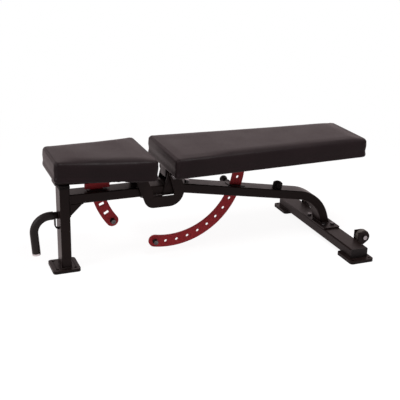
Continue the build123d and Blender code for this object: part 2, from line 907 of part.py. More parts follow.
# Backrest arc: holes for every backrest angle and a stop bolt at its end
back_stop_angle = back_pin_angle - (back_holes_up + 1) * back_pitch
back_stop_place = polar(back_arc_radius, back_stop_angle)
back_hole_count = back_holes_up + back_holes_down + 1
with BuildPart() as back_arc:
    with BuildSketch(side):
        add(band_section(Plane.XY, back_arc_radius, arc_band, back_stop_angle, 0))
        with Locations(back_stop_place):
            Circle(arc_band / 2)
        with Locations((back_arc_radius, arc_band / 2 - tube_depth / 2)):
            Rectangle(2 * arc_band, arc_band, mode=Mode.SUBTRACT)
        with PolarLocations(
            back_arc_radius,
            back_hole_count,
            start_angle=back_pin_angle - back_holes_up * back_pitch,
            angular_range=(back_hole_count - 1) * back_pitch,
            endpoint=True,
        ):
            Circle(pin_radius + pin_play, mode=Mode.SUBTRACT)
        with Locations(back_stop_place):
            Circle(bolt_diameter / 2, mode=Mode.SUBTRACT)
    extrude(amount=arc_thick / 2, both=True)
save(back_arc.part, "back_arc")
save(stop_bolt(back_stop_place), "back_arc_stop_bolt")
save(stop_sleeves(back_stop_place), "back_arc_stop_sleeves")

# Backrest tube with its caps and the bush that turns on the shaft
bush_diameter = shaft_diameter + 2 * bush_wall
with BuildPart() as back_tube:
    tube_start = (pivot_x - back_tube_front + cap_thick, 0, pivot_height)
    tube_length = back_tube_rear + back_tube_front - 2 * cap_thick
    start_plane = Plane(tube_start, x_dir=(0, 1, 0), z_dir=(1, 0, 0))
    extrude(tube_section(start_plane, back_tube_width, tube_depth), amount=tube_length)
    with BuildSketch(side):
        Circle(bush_diameter / 2)
    extrude(amount=back_tube_width, both=True, mode=Mode.SUBTRACT)
save(back_tube.part, "back_tube")

back_tube_ends = (
    Plane(tube_start, x_dir=(0, 1, 0), z_dir=(-1, 0, 0)),
    Plane((pivot_x + back_tube_rear - cap_thick, 0, pivot_height), x_dir=(0, 1, 0), z_dir=(1, 0, 0)),
)
back_tube_caps = group(
    tube_cap(plane, back_tube_width, tube_depth, plug)
    for plane, plug in zip(back_tube_ends, (front_cap_plug, cap_plug))
)
save(back_tube_caps, "back_tube_caps")

with BuildPart() as back_bush:
    with BuildSketch(side):
        Circle(bush_diameter / 2)
        Circle(shaft_diameter / 2 + running_fit, mode=Mode.SUBTRACT)
    extrude(amount=half_tube - side_play, both=True)
save(back_bush.part, "back_pivot_bush")


# Pads: foam and cover over a board, with a lip round the board, sides that swell above it and a crown
def pad_outline(plane, front, rear, half_front, half_rear, inset):
    """Tapered plan of a pad with round corners, drawn in by an inset."""
    corners = (
        (front + inset, inset - half_front),
        (rear - inset, inset - half_rear),
        (rear - inset, half_rear - inset),
        (front + inset, half_front - inset),
    )
    with BuildSketch(plane) as outline:
        with BuildLine():
            Polyline(*corners, close=True)
        make_face()
        fillet(outline.vertices(), pad_corner)
    return outline.sketch.face()


def pad_sections(plane, *plan):
    """Outlines from the lip round the board, past the groove above it, to the top of the crown."""
    edge_start = pad_thick - pad_crown - pad_edge
    sections = [
        pad_outline(plane, *plan, lip_round),
        pad_outline(plane.offset(lip_round), *plan, 0),
        pad_outline(plane.offset(board_thick - lip_groove), *plan, 0),
        pad_outline(plane.offset(board_thick), *plan, lip_groove),
        pad_outline(plane.offset(pad_belly), *plan, 0),
        pad_outline(plane.offset(edge_start), *plan, pad_draw),
    ]
    for angle in edge_angles:
        rise = pad_edge * sin(radians(angle))
        inset = pad_draw + pad_edge * (1 - cos(radians(angle)))
        sections.append(pad_outline(plane.offset(edge_start + rise), *plan, inset))
    sections.append(pad_outline(plane.offset(pad_thick), *plan, crown_inset))
    return sections


def upholstered_pad(plane, *plan):
    with BuildPart() as pad:
        loft(pad_sections(plane, *plan), ruled=True)
        extrude(pad_outline(plane, *plan, board_inset), amount=board_thick, mode=Mode.SUBTRACT)
    return pad.part


def pad_board(plane, screw_places, *plan):
    with BuildPart() as board:
        extrude(pad_outline(plane, *plan, board_inset), amount=board_thick)
        with BuildSketch(plane):
            with Locations(*screw_places):
                Circle(screw_diameter / 2)
        extrude(amount=screw_bite, mode=Mode.SUBTRACT)
    return board.part


def mount_plate(plane, reach):
    """Cross plate between a tube and a board. The plane lies on the board's underside."""
    with BuildPart() as plate:
        with BuildSketch(plane.offset(-mount_thick)):
            with Locations((reach, 0)):
                RectangleRounded(mount_length, mount_width, tube_corner)
                with GridLocations(0, screw_pitch_y, 1, 2):
                    Circle(screw_diameter / 2, mode=Mode.SUBTRACT)
        extrude(amount=mount_thick)
    return plate.part


def pad_screw(plane, place):
    """Hex screw up through a mount plate into the board."""
    with BuildPart() as screw:
        with BuildSketch(plane.offset(-mount_thick)):
            with Locations(place):
                RegularPolygon(screw_head / 2, 6, major_radius=False)
        extrude(amount=-screw_head_height)
        with BuildSketch(plane.offset(-mount_thick)):
            with Locations(place):
                Circle(screw_diameter / 2)
        extrude(amount=mount_thick + screw_bite)
    return screw.part


def save_pad(name, plane, mounts, *plan):
    """Write a pad, its board, the mount plates under it and their screws."""
    screw_places = [(reach, y) for reach in mounts for y in (-screw_pitch_y / 2, screw_pitch_y / 2)]
    save(upholstered_pad(plane, *plan), f"{name}_pad")
    save(pad_board(plane, screw_places, *plan), f"{name}_board")
    save(group(mount_plate(plane, reach) for reach in mounts), f"{name}_mount_plates")
    save(group(pad_screw(plane, place) for place in screw_places), f"{name}_pad_screws")


save_pad(
    "back",
    back_plan.offset(tube_depth / 2 + mount_thick),
    (back_mount_front, back_mount_rear),
    -back_pad_front,
    back_pad_rear,
    back_half_front,
    back_half_rear,
)
seat_tube_top = tube_depth / 2 - seat_tube_drop
save_pad(
    "seat",
    seat_plan.offset(seat_tube_top + mount_thick),
    (-seat_mount_front, -seat_mount_rear),
    -seat_pad_front,
    -seat_pad_rear,
    seat_half_front,
    seat_half_rear,
)

# Seat tube, its caps and the spacers that carry it on the link plates
seat_tube_center = seat_plan.offset(-seat_tube_drop)
seat_along = seat_plan.x_dir


def seat_tube_plane(reach, direction):
    """Plane across the seat tube, facing along the tube in a direction."""
    origin = seat_tube_center.from_local_coords((-reach, 0, 0))
    return Plane(origin, x_dir=(0, 1, 0), z_dir=seat_along * direction)


with BuildPart() as seat_tube:
    seat_tube_start = seat_tube_plane(seat_tube_front - cap_thick, 1)
    seat_tube_length = seat_tube_front - seat_tube_rear - 2 * cap_thick
    extrude(tube_section(seat_tube_start, seat_tube_width, tube_depth), amount=seat_tube_length)
save(seat_tube.part, "seat_tube")

seat_tube_ends = (
    seat_tube_plane(seat_tube_front - cap_thick, -1),
    seat_tube_plane(seat_tube_rear + cap_thick, 1),
)
save(group(tube_cap(plane, seat_tube_width, tube_depth) for plane in seat_tube_ends), "seat_tube_caps")


def link_spacer(start):
    with BuildPart() as spacer:
        with BuildSketch(seat_side.offset(start)):
            with Locations((-seat_tube_rear - spacer_set, -seat_tube_drop)):
                RectangleRounded(spacer_length, spacer_height, tube_corner)
        extrude(amount=link_inner - seat_tube_width / 2)
    return spacer.part


save(group(link_spacer(start) for start in (seat_tube_width / 2, -link_inner)), "link_spacers")

# Link plates: U-shaped, open above so that the raised backrest can swing down between the arms
lean = tan(radians(link_lean))
window_bottom = link_bar - link_depth
arm_top = -link_front - lean * (link_depth + link_top)
arm_window = -link_front - lean * link_bar
for link_side, link_start in (("near", link_inner), ("far", -link_outer)):
    with BuildPart() as link_plate:
        with BuildSketch(side.offset(link_start)) as link_face:
            with BuildLine():
                Polyline(
                    (arm_top, link_top),
                    (arm_top + link_arm, link_top),
                    (arm_window + link_arm, window_bottom),
                    (link_window_rear, window_bottom),
                    (-link_radius, 0),
                    (link_radius, 0),
                    (link_rear, -link_shoulder),
                    (link_rear, -link_depth),
                    (-link_front, -link_depth),
                    close=True,
                )
            make_face()
            fillet(link_face.vertices().group_by(Axis.Y)[0].sort_by(Axis.X)[0], link_front_corner)
            fillet(link_face.vertices().group_by(Axis.Y)[0].sort_by(Axis.X)[-1], link_rear_corner)
            window_span = (window_bottom - 1, window_bottom + 1)
            fillet(link_face.vertices().filter_by_position(Axis.Y, *window_span), link_window_corner)
            Circle(link_radius)
            Circle(bush_diameter / 2, mode=Mode.SUBTRACT)
        extrude(amount=link_thick)
    save(link_plate.part, f"{link_side}_link_plate")


def link_bush(toward):
    """Flanged bush in a link plate, its flange filling the space beside the lug."""
    lug_face = half_tube + lug_thick + side_play
    with BuildPart() as bush:
        for start, end, radius in (
            (lug_face, link_inner, bush_diameter / 2 + bush_flange),
            (link_inner, link_outer, bush_diameter / 2),
        ):
            with BuildSketch(side.offset(toward * start)):
                Circle(radius)
                Circle(shaft_diameter / 2 + running_fit, mode=Mode.SUBTRACT)
            extrude(amount=toward * (end - start))
    return bush.part


save(group(link_bush(toward) for toward in (1, -1)), "link_bushes")

# Seat arc: a flange under the seat tube and a slotted band below it
seat_stop_angle = seat_pin_angle + (seat_holes_up + 1) * seat_pitch
seat_stop_place = polar(seat_arc_radius, seat_stop_angle)
with BuildPart() as seat_arc:
    with BuildSketch(side):
        add(band_section(Plane.XY, seat_arc_radius, arc_band, seat_band_start, seat_stop_angle))
        with Locations(seat_stop_place):
            Circle(arc_band / 2)
        with BuildLine():
            Polyline(
                (-seat_plate_front, seat_line(-seat_plate_front, seat_tube_under)),
                (-seat_plate_rear, seat_line(-seat_plate_rear, seat_tube_under)),
                (-seat_plate_rear, -seat_plate_bottom),
                (-seat_plate_front, -seat_plate_bottom),
                close=True,
            )
        make_face()
        with PolarLocations(
            seat_arc_radius,
            seat_holes_up + 1,
            start_angle=seat_pin_angle,
            angular_range=seat_holes_up * seat_pitch,
            endpoint=True,
        ):
            slot_width = pin_diameter + 2 * pin_play
            RectangleRounded(seat_slot_length, slot_width, seat_slot_corner, mode=Mode.SUBTRACT)
        with Locations(seat_stop_place):
            Circle(bolt_diameter / 2, mode=Mode.SUBTRACT)
    extrude(amount=arc_thick / 2, both=True)
save(seat_arc.part, "seat_arc")
save(stop_bolt(seat_stop_place), "seat_arc_stop_bolt")
save(stop_sleeves(seat_stop_place), "seat_arc_stop_sleeves")
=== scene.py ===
# %% [markdown]
# # An adjustable weight bench
# The bench comes to this lesson as exact solids: tubes, plates, arcs, pins, wheels and two plain pads.
# What is left to do here is what the eye wants: the finish of every surface, soft edges, sewn pads, weld
# beads, and a studio that looks like a catalogue page. The solids stay where they are, because other
# tools test how they fit and move.

import json
import math

import bmesh
import bpy
from mathutils import Matrix, Vector
from mathutils.bvhtree import BVHTree
from mathutils.kdtree import KDTree


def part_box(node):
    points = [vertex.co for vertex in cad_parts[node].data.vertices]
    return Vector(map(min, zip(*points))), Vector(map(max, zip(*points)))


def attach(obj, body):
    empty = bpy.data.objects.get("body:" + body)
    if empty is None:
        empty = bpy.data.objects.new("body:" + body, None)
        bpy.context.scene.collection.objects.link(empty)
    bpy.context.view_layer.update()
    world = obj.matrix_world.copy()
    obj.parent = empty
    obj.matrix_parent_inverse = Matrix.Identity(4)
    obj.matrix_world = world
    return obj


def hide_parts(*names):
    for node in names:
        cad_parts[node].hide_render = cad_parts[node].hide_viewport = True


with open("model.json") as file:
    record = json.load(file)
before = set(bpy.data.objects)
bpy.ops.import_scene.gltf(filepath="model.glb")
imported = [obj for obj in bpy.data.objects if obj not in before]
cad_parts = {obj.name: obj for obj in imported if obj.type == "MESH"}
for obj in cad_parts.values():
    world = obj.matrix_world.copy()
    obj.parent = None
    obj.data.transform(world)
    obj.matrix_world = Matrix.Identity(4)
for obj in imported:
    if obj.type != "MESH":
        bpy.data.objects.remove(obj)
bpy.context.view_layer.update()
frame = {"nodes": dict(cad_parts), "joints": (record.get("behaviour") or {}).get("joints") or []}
nodes = frame["nodes"]
scene = bpy.context.scene
pivot = next(Vector(joint["pos_m"]) for joint in frame["joints"] if joint["name"] == "backrest_tilt")
print("pieces:", len(nodes), "pivot at", tuple(round(value, 4) for value in pivot))

# %% [markdown]
# ## Small tools
# Colours are easiest to pick as the hex codes of a paint program, but Blender calculates with linear
# light, so one function converts them. Another adds a shader node, sets it up and wires it, which keeps the
# recipes further down short enough to read. No finish is quite even, so a third one lets a noise drift the
# colour between two tones, and the gloss with it.

# %% Colour and node helpers
MM = 0.001


def srgb(code):
    """Linear colour of an sRGB hex code."""
    shares = [int(code[start : start + 2], 16) / 255 for start in (0, 2, 4)]
    linear = [share / 12.92 if share <= 0.04045 else ((share + 0.055) / 1.055) ** 2.4 for share in shares]
    return (*linear, 1.0)


def per_mm(size):
    """Texture scale that gives a pattern this size in millimetres, on coordinates in metres."""
    return 1 / (size * MM)


def add_node(owner, kind, settings, links=()):
    """Add a node to a material or world, set its values and link sockets into its inputs."""
    tree = owner.node_tree
    node = tree.nodes.new(kind)
    for name, value in settings.items():
        if name in node.inputs:
            node.inputs[name].default_value = value
        else:
            setattr(node, name, value)
    for name, socket in links:
        tree.links.new(socket, node.inputs[name])
    return node


def new_finish(name, **settings):
    """A material with one shader, and the coordinates that its patterns follow."""
    material = bpy.data.materials.new(name)
    material.use_nodes = True
    shader = material.node_tree.nodes["Principled BSDF"]
    for socket, value in settings.items():
        shader.inputs[socket.replace("_", " ")].default_value = value
    place = add_node(material, "ShaderNodeTexCoord", {}).outputs["Object"]
    return material, shader, place


def uneven(material, noise, span, tones, gloss=None):
    """Let a span of a noise drift a finish between two tones and, where it has them, two roughness values."""
    tree = material.node_tree
    shader = tree.nodes["Principled BSDF"]
    tone = add_node(material, "ShaderNodeValToRGB", {}, [("Fac", noise.outputs["Fac"])])
    for stop, position, code in zip(tone.color_ramp.elements, span, tones):
        stop.position = position
        stop.color = srgb(code)
    tree.links.new(tone.outputs["Color"], shader.inputs["Base Color"])
    if gloss:
        smooth, rough = gloss
        sheen = add_node(
            material,
            "ShaderNodeMapRange",
            {"From Min": 0.3, "From Max": 0.7, "To Min": smooth, "To Max": rough},
            [("Value", noise.outputs["Fac"])],
        )
        tree.links.new(sheen.outputs["Result"], shader.inputs["Roughness"])


print("black as linear light:", [round(value, 4) for value in srgb("231F1E")])

# %% [markdown]
# ## Camera
# The camera comes first, because every later decision is judged through it. Its place was worked out from
# points that can be found both on the solids and in the picture: the far-off view, a little above the pads
# and to the left of the middle, with the whole frame turned by under two degrees.

# %% Camera
image_width = 400
sensor_width = 36.0
focal_pixels = 788.2
view_azimuth = math.radians(-22.473)
view_height = math.radians(20.873)
view_roll = math.radians(1.707)
view_distance = 3.167
view_target = pivot + Vector((0.1332, 0.0, -0.1416))

view_back = Vector(
    (
        math.sin(view_azimuth) * math.cos(view_height),
        -math.cos(view_azimuth) * math.cos(view_height),
        math.sin(view_height),
    )
)
view_right = Vector((math.cos(view_azimuth), math.sin(view_azimuth), 0.0))
view_up = view_back.cross(view_right)
view_turn = Matrix((view_right, view_up, view_back)).transposed() @ Matrix.Rotation(view_roll, 3, "Z")

camera = bpy.data.objects.new("camera", bpy.data.cameras.new("camera"))
scene.collection.objects.link(camera)
camera.matrix_world = Matrix.Translation(view_target + view_back * view_distance) @ view_turn.to_4x4()
camera.data.sensor_width = sensor_width
camera.data.lens = focal_pixels * sensor_width / image_width
scene.camera = camera
scene.view_settings.view_transform = "Standard"
print("camera at", [round(value, 3) for value in camera.location], "lens", round(camera.data.lens, 2))

# %% [markdown]
# ## Studio
# A catalogue picture is taken on a white sweep: floor and wall are one bright sheet. Dark satin surfaces
# mostly show what they mirror, so the tops and the left-hand faces come out grey from that sheet, while the
# near faces get little light and stay almost black. The world therefore lights from behind the bench and is
# dim on the camera's side, but it shows as a white sheet to the camera and in mirrors. Two soft lamps do the
# rest.

# %% World
room_cast = "FFECEC"


def white_sheet(owner):
    """Two sockets: whether a ray comes from the camera or a mirror, and the white that it finds."""
    sight = add_node(owner, "ShaderNodeLightPath", {})
    mirrored = add_node(
        owner,
        "ShaderNodeMath",
        {"operation": "MAXIMUM"},
        [(0, sight.outputs["Is Glossy Ray"]), (1, sight.outputs["Is Transmission Ray"])],
    )
    shown = add_node(
        owner,
        "ShaderNodeMath",
        {"operation": "MAXIMUM"},
        [(0, sight.outputs["Is Camera Ray"]), (1, mirrored.outputs["Value"])],
    )
    white = add_node(owner, "ShaderNodeValToRGB", {}, [("Fac", sight.outputs["Is Camera Ray"])])
    white.color_ramp.elements[0].color = srgb(room_cast)
    white.color_ramp.elements[1].color = srgb("FFFFFF")
    return shown.outputs["Value"], white.outputs["Color"]


world = bpy.data.worlds.new("studio")
world.use_nodes = True
scene.world = world
background = world.node_tree.nodes["Background"]
shown, white = white_sheet(world)
direction = add_node(world, "ShaderNodeTexCoord", {})
axes = add_node(world, "ShaderNodeSeparateXYZ", {}, [("Vector", direction.outputs["Generated"])])
falloff = add_node(
    world,
    "ShaderNodeMapRange",
    {"From Min": 0.15, "From Max": 0.8, "To Min": 0.1, "To Max": 0.9},
    [("Value", axes.outputs["Y"])],
)
seen = add_node(
    world,
    "ShaderNodeMath",
    {"operation": "MAXIMUM"},
    [(0, shown), (1, falloff.outputs["Result"])],
)
world.node_tree.links.new(white, background.inputs["Color"])
world.node_tree.links.new(seen.outputs["Value"], background.inputs["Strength"])
print("world:", world.name, "cast", room_cast)


# %% Lamps
def soft_lamp(name, place, aim, size, power):
    """Square soft box that points at a place."""
    lamp = bpy.data.objects.new(name, bpy.data.lights.new(name, "AREA"))
    scene.collection.objects.link(lamp)
    lamp.data.shape = "SQUARE"
    lamp.data.size = size
    lamp.data.energy = power
    lamp.location = place
    lamp.rotation_euler = (Vector(aim) - Vector(place)).to_track_quat("-Z", "Y").to_euler()


lamp_aim = (0, 0, 0.3)
soft_lamp("left_soft_box", (-2.4, -0.2, 1.5), lamp_aim, size=1.4, power=20)
soft_lamp("top_soft_box", (0.3, -0.9, 2.4), lamp_aim, size=1.0, power=34)

# %% [markdown]
# ## Floor
# The floor is the near end of that sheet. It is plain white for the camera and in mirrors, and pale matt
# paper for the light that bounces. Around the bench a small matt share stays in view, so that the shadow
# under the feet doesn't vanish. Further out the share fades, and the paper runs into the white behind it
# without a horizon.

# %% Floor
floor_half = 6.0
floor_mesh = bpy.data.meshes.new("floor")
floor_corners = [(x * floor_half, y * floor_half, 0.0) for x, y in ((-1, -1), (1, -1), (1, 1), (-1, 1))]
floor_mesh.from_pydata(floor_corners, [], [(0, 1, 2, 3)])
floor = bpy.data.objects.new("floor", floor_mesh)
scene.collection.objects.link(floor)
print("floor:", floor.name, 2 * floor_half, "m wide")

# %% Paper of the floor
fade_from, fade_to = 0.9, 2.4
floor_paper = bpy.data.materials.new("matt_paper_sweep")
floor_paper.use_nodes = True
floor_tree = floor_paper.node_tree
floor_tree.nodes.remove(floor_tree.nodes["Principled BSDF"])
shown, white = white_sheet(floor_paper)
glow = add_node(floor_paper, "ShaderNodeEmission", {"Strength": 0.9}, [("Color", white)])
paper = add_node(floor_paper, "ShaderNodeBsdfDiffuse", {"Color": srgb("808080")})
bounce = add_node(floor_paper, "ShaderNodeBsdfDiffuse", {"Color": srgb("D2CDCC")})
sheet = add_node(floor_paper, "ShaderNodeAddShader", {}, [(0, glow.outputs[0]), (1, paper.outputs[0])])
place = add_node(floor_paper, "ShaderNodeTexCoord", {})
reach = add_node(floor_paper, "ShaderNodeVectorMath", {"operation": "LENGTH"}, [(0, place.outputs["Object"])])
fade = add_node(
    floor_paper,
    "ShaderNodeMapRange",
    {"interpolation_type": "SMOOTHSTEP", "From Min": fade_from, "From Max": fade_to},
    [("Value", reach.outputs["Value"])],
)
plain = add_node(floor_paper, "ShaderNodeEmission", {"Strength": 1.0}, [("Color", white)])
view = add_node(
    floor_paper,
    "ShaderNodeMixShader",
    {},
    [("Fac", fade.outputs["Result"]), (1, sheet.outputs[0]), (2, plain.outputs[0])],
)
choice = add_node(
    floor_paper,
    "ShaderNodeMixShader",
    {},
    [("Fac", shown), (1, bounce.outputs[0]), (2, view.outputs[0])],
)
floor_tree.links.new(choice.outputs[0], floor_tree.nodes["Material Output"].inputs["Surface"])
floor_mesh.materials.append(floor_paper)
print("floor paper:", floor_paper.name)

# %% [markdown]
# ## Powder coat
# The steel is powder coated: dry paint is sprayed on charged metal and baked. The skin that this leaves is
# satin, follows every edge, and has a faint orange peel. An image of paint would slide over the tubes, so
# the peel is a noise in the bench's own coordinates. On the real bench it is about 2 mm wide, which is less
# than a pixel here, so it is drawn at 4 mm.


# %% Powder coats
def powder_coat(name, dark, light, roughness):
    """Baked satin paint with orange peel. The eye gets a soft, slightly uneven sheen."""
    material, shader, place = new_finish(name, Specular_IOR_Level=0.1)
    cloud = {"Scale": per_mm(90), "Detail": 3.0}
    drift = add_node(material, "ShaderNodeTexNoise", cloud, [("Vector", place)])
    uneven(material, drift, (0.3, 0.7), (dark, light), (roughness - 0.04, roughness + 0.05))
    peel = add_node(material, "ShaderNodeTexNoise", {"Scale": per_mm(4), "Detail": 2.0}, [("Vector", place)])
    skin = add_node(
        material,
        "ShaderNodeBump",
        {"Strength": 0.25, "Distance": 0.25 * MM},
        [("Height", peel.outputs["Fac"])],
    )
    material.node_tree.links.new(skin.outputs["Normal"], shader.inputs["Normal"])
    return material


black_powder_coat = powder_coat("black_powder_coat", "1A1312", "1F1716", 0.36)
red_powder_coat = powder_coat("red_powder_coat", "B4373D", "BD3E44", 0.42)
print("powder coats:", black_powder_coat.name, red_powder_coat.name)

# %% [markdown]
# ## Vinyl
# The covers are PVC-coated cloth, rolled hot so that a leather grain is pressed into it. It shows a grey
# satin sheen at a low angle and almost black straight on. The grain is a cell pattern: cells for the pebbles,
# their borders for the creases. Real pebbles are near 1 mm, drawn here at 2.6 mm so that they catch light.

# %% Pad vinyl
pad_vinyl, shader, place = new_finish("embossed_pad_vinyl", Specular_IOR_Level=0.105)
drift = add_node(pad_vinyl, "ShaderNodeTexNoise", {"Scale": per_mm(120), "Detail": 4.0}, [("Vector", place)])
uneven(pad_vinyl, drift, (0.32, 0.68), ("1A1315", "20181A"), (0.36, 0.44))
pebbles = add_node(
    pad_vinyl,
    "ShaderNodeTexVoronoi",
    {"feature": "DISTANCE_TO_EDGE", "Scale": per_mm(2.6)},
    [("Vector", place)],
)
creases = add_node(
    pad_vinyl,
    "ShaderNodeMapRange",
    {"From Min": 0.0, "From Max": 0.25, "To Min": 0.0, "To Max": 1.0},
    [("Value", pebbles.outputs["Distance"])],
)
grain = add_node(
    pad_vinyl,
    "ShaderNodeBump",
    {"Strength": 0.3, "Distance": 0.2 * MM},
    [("Height", creases.outputs["Result"])],
)
pad_vinyl.node_tree.links.new(grain.outputs["Normal"], shader.inputs["Normal"])
print("vinyl:", pad_vinyl.name)

# %% [markdown]
# ## Rubber and plastics
# Soles, bumpers and sleeves are moulded rubber: matt, with a dusty bloom. Caps, liners and knobs are nylon,
# which is harder and shinier, with the fine spark-eroded grain of its mould. The grip is dipped PVC, smooth
# and soft. They share one recipe, because what tells them apart is colour, gloss and the size of the grain.


# %% Moulded finishes
def moulded(name, dark, light, roughness, grain_size, grain_depth):
    """Rubber or plastic from a mould. The eye gets an even colour, broken by the mould's own grain."""
    material, shader, place = new_finish(name, Specular_IOR_Level=0.16)
    cloud = {"Scale": per_mm(35), "Detail": 5.0}
    bloom = add_node(material, "ShaderNodeTexNoise", cloud, [("Vector", place)])
    uneven(material, bloom, (0.35, 0.75), (dark, light), (roughness - 0.06, roughness + 0.06))
    grit = add_node(material, "ShaderNodeTexNoise", {"Scale": per_mm(grain_size)}, [("Vector", place)])
    skin = add_node(
        material,
        "ShaderNodeBump",
        {"Strength": 0.3, "Distance": grain_depth * MM},
        [("Height", grit.outputs["Fac"])],
    )
    material.node_tree.links.new(skin.outputs["Normal"], shader.inputs["Normal"])
    return material


# Dark and light tone, roughness, then grain size and depth in millimetres. A mould's real grain is finer than
# half a millimetre, and drawn coarser here so that it shows.
black_rubber = moulded("moulded_black_rubber", "171515", "221F1F", 0.72, 2.0, 0.2)
black_nylon = moulded("moulded_black_nylon", "191717", "211E1E", 0.42, 1.6, 0.12)
dipped_pvc = moulded("dipped_black_pvc", "1E1B1A", "262221", 0.36, 5.0, 0.1)
grey_nylon = moulded("moulded_grey_nylon", "57524E", "68625D", 0.45, 1.6, 0.1)
sewing_thread = moulded("bonded_black_thread", "252023", "332D30", 0.6, 0.8, 0.1)
print("moulded:", [material.name for material in (black_rubber, black_nylon, dipped_pvc, grey_nylon)])

# %% [markdown]
# ## Bare metals
# Pins, axles and the bolts on the beams are zinc plated: a grey mirror with a cloudy, crystalline film. Nuts,
# flange bolts, stop bolts and screws have the black kind of it. The ring at the end of the handle is turned
# aluminium, so its shine is drawn out around it. The bushes are sintered bronze.


# %% Metals
def bare_metal(name, dark, light, roughness, cloud_size, turned=0.0):
    """Plated or turned metal. The eye gets a mirror, blurred by its film and clouded in patches."""
    material, _, place = new_finish(name, Metallic=1.0, Anisotropic=turned)
    cloud = {"Scale": per_mm(cloud_size), "Detail": 6.0}
    film = add_node(material, "ShaderNodeTexNoise", cloud, [("Vector", place)])
    uneven(material, film, (0.3, 0.7), (dark, light), (roughness - 0.08, roughness + 0.1))
    return material


# Dark and light tone, roughness, size of the clouds in millimetres, and how far the shine is drawn out.
zinc_plate = bare_metal("zinc_plated_steel", "7C7D7F", "A9ABAD", 0.24, 9)
black_zinc = bare_metal("black_zinc_steel", "3C3C3D", "606162", 0.26, 9)
turned_aluminium = bare_metal("turned_aluminium", "B8B9BA", "C8C8C9", 0.26, 14, 0.6)
sintered_bronze = bare_metal("sintered_bronze", "80603A", "A47C4A", 0.42, 4)
print("metals:", zinc_plate.name, turned_aluminium.name, sintered_bronze.name)

# %% [markdown]
# ## Plywood
# The boards under the pads are birch plywood with a black stain, which lets the grain show as long streaks.
# The streaks are a noise that is stretched along the bench. Real ones are 1 or 2 mm wide, and drawn at 5 mm
# so that they show.

# %% Stained plywood
stained_plywood, shader, place = new_finish("black_stained_plywood", Roughness=0.62)
grain_length = 160
grain_width = 5
stretched = add_node(
    stained_plywood,
    "ShaderNodeMapping",
    {"Scale": (per_mm(grain_length), per_mm(grain_width), per_mm(grain_width))},
    [("Vector", place)],
)
streaks = add_node(
    stained_plywood, "ShaderNodeTexNoise", {"Scale": 1.0, "Detail": 6.0}, [("Vector", stretched.outputs[0])]
)
uneven(stained_plywood, streaks, (0.35, 0.7), ("1D1815", "3A3029"))
grain = add_node(
    stained_plywood,
    "ShaderNodeBump",
    {"Strength": 0.3, "Distance": 0.2 * MM},
    [("Height", streaks.outputs["Fac"])],
)
stained_plywood.node_tree.links.new(grain.outputs["Normal"], shader.inputs["Normal"])
print("board:", stained_plywood.name)

# %% [markdown]
# ## Dressing the solids
# Every piece takes its finish by name. Nothing else changes about the solids, apart from their edges: no
# real edge is razor sharp, and a line of light along each one is what makes steel look solid. A bevel
# modifier does that without touching the mesh. The solids come with a separate vertex for every face, so a
# weld modifier joins those first.

# %% Finishes by piece
finish_of = {
    black_powder_coat: (
        "front_foot_plate rear_foot_plates front_post front_beam corner_gusset joint_plate rear_beam "
        "rear_base leg_flange wheel_brackets handle_tube handle_stay near_pivot_lug far_pivot_lug "
        "pin_barrels back_tube back_mount_plates seat_mount_plates seat_tube link_spacers near_link_plate "
        "far_link_plate"
    ),
    red_powder_coat: "back_arc seat_arc",
    black_rubber: "front_sole rear_soles post_bumper back_bumper back_arc_stop_sleeves seat_arc_stop_sleeves",
    dipped_pvc: "handle_grip",
    black_nylon: "base_end_caps back_tube_caps seat_tube_caps arc_liners back_pin_knob seat_pin_knob",
    grey_nylon: "near_wheel far_wheel",
    zinc_plate: "beam_bolts wheel_axles pivot_shaft back_pin back_pin_spring seat_pin seat_pin_spring",
    black_zinc: (
        "pivot_nuts flange_bolts back_arc_stop_bolt seat_arc_stop_bolt back_pad_screws seat_pad_screws"
    ),
    turned_aluminium: "handle_end_ring",
    sintered_bronze: "back_pivot_bush link_bushes",
    stained_plywood: "back_board seat_board",
    pad_vinyl: "back_pad seat_pad",
}
dressed = []
for material, names in finish_of.items():
    for name in names.split():
        nodes[name].data.materials.clear()
        nodes[name].data.materials.append(material)
        dressed.append(name)
print("dressed:", len(dressed), "left over:", sorted(set(nodes) - set(dressed)))

# %% Soft edges
edge_width = 0.8 * MM
edge_angle = math.radians(35)
same_spot = 0.005 * MM
for name in dressed:
    joined = nodes[name].modifiers.new("joined_faces", "WELD")
    joined.merge_threshold = same_spot
    edge = nodes[name].modifiers.new("soft_edges", "BEVEL")
    edge.width = edge_width
    edge.segments = 2
    edge.limit_method = "ANGLE"
    edge.angle_limit = edge_angle
    edge.harden_normals = True
print("edge width:", round(edge_width / MM, 1), "mm")

# %% [markdown]
# ## Pads
# A bench pad is a block of firm foam on a board, with a vinyl cover pulled over both and stapled underneath.
# The cover bridges the foam's small hollows and swells between its seams. Moving points by hand would look
# drawn, so a cloth does it: the solid becomes an even mesh, its long edges are eased, and it is blown up with
# the board's edge and both sewn ends held. The moves are averaged, because firm foam carries no ripples, and
# capped, so that the pad keeps the size that the solid gives it. Under the board the cover ends in a folded
# hem, which hangs a little below the wood.

# %% Even mesh of a pad
voxel_size = 5 * MM


def surface_of(mesh):
    """Search tree of a mesh's faces."""
    return BVHTree.FromPolygons([v.co for v in mesh.vertices], [face.vertices for face in mesh.polygons])


def baked(piece):
    """Replace a piece's mesh by what its modifiers make of it."""
    bpy.context.view_layer.update()
    mesh = bpy.data.meshes.new_from_object(piece.evaluated_get(bpy.context.evaluated_depsgraph_get()))
    mesh.name = piece.name
    piece.modifiers.clear()
    piece.data = mesh


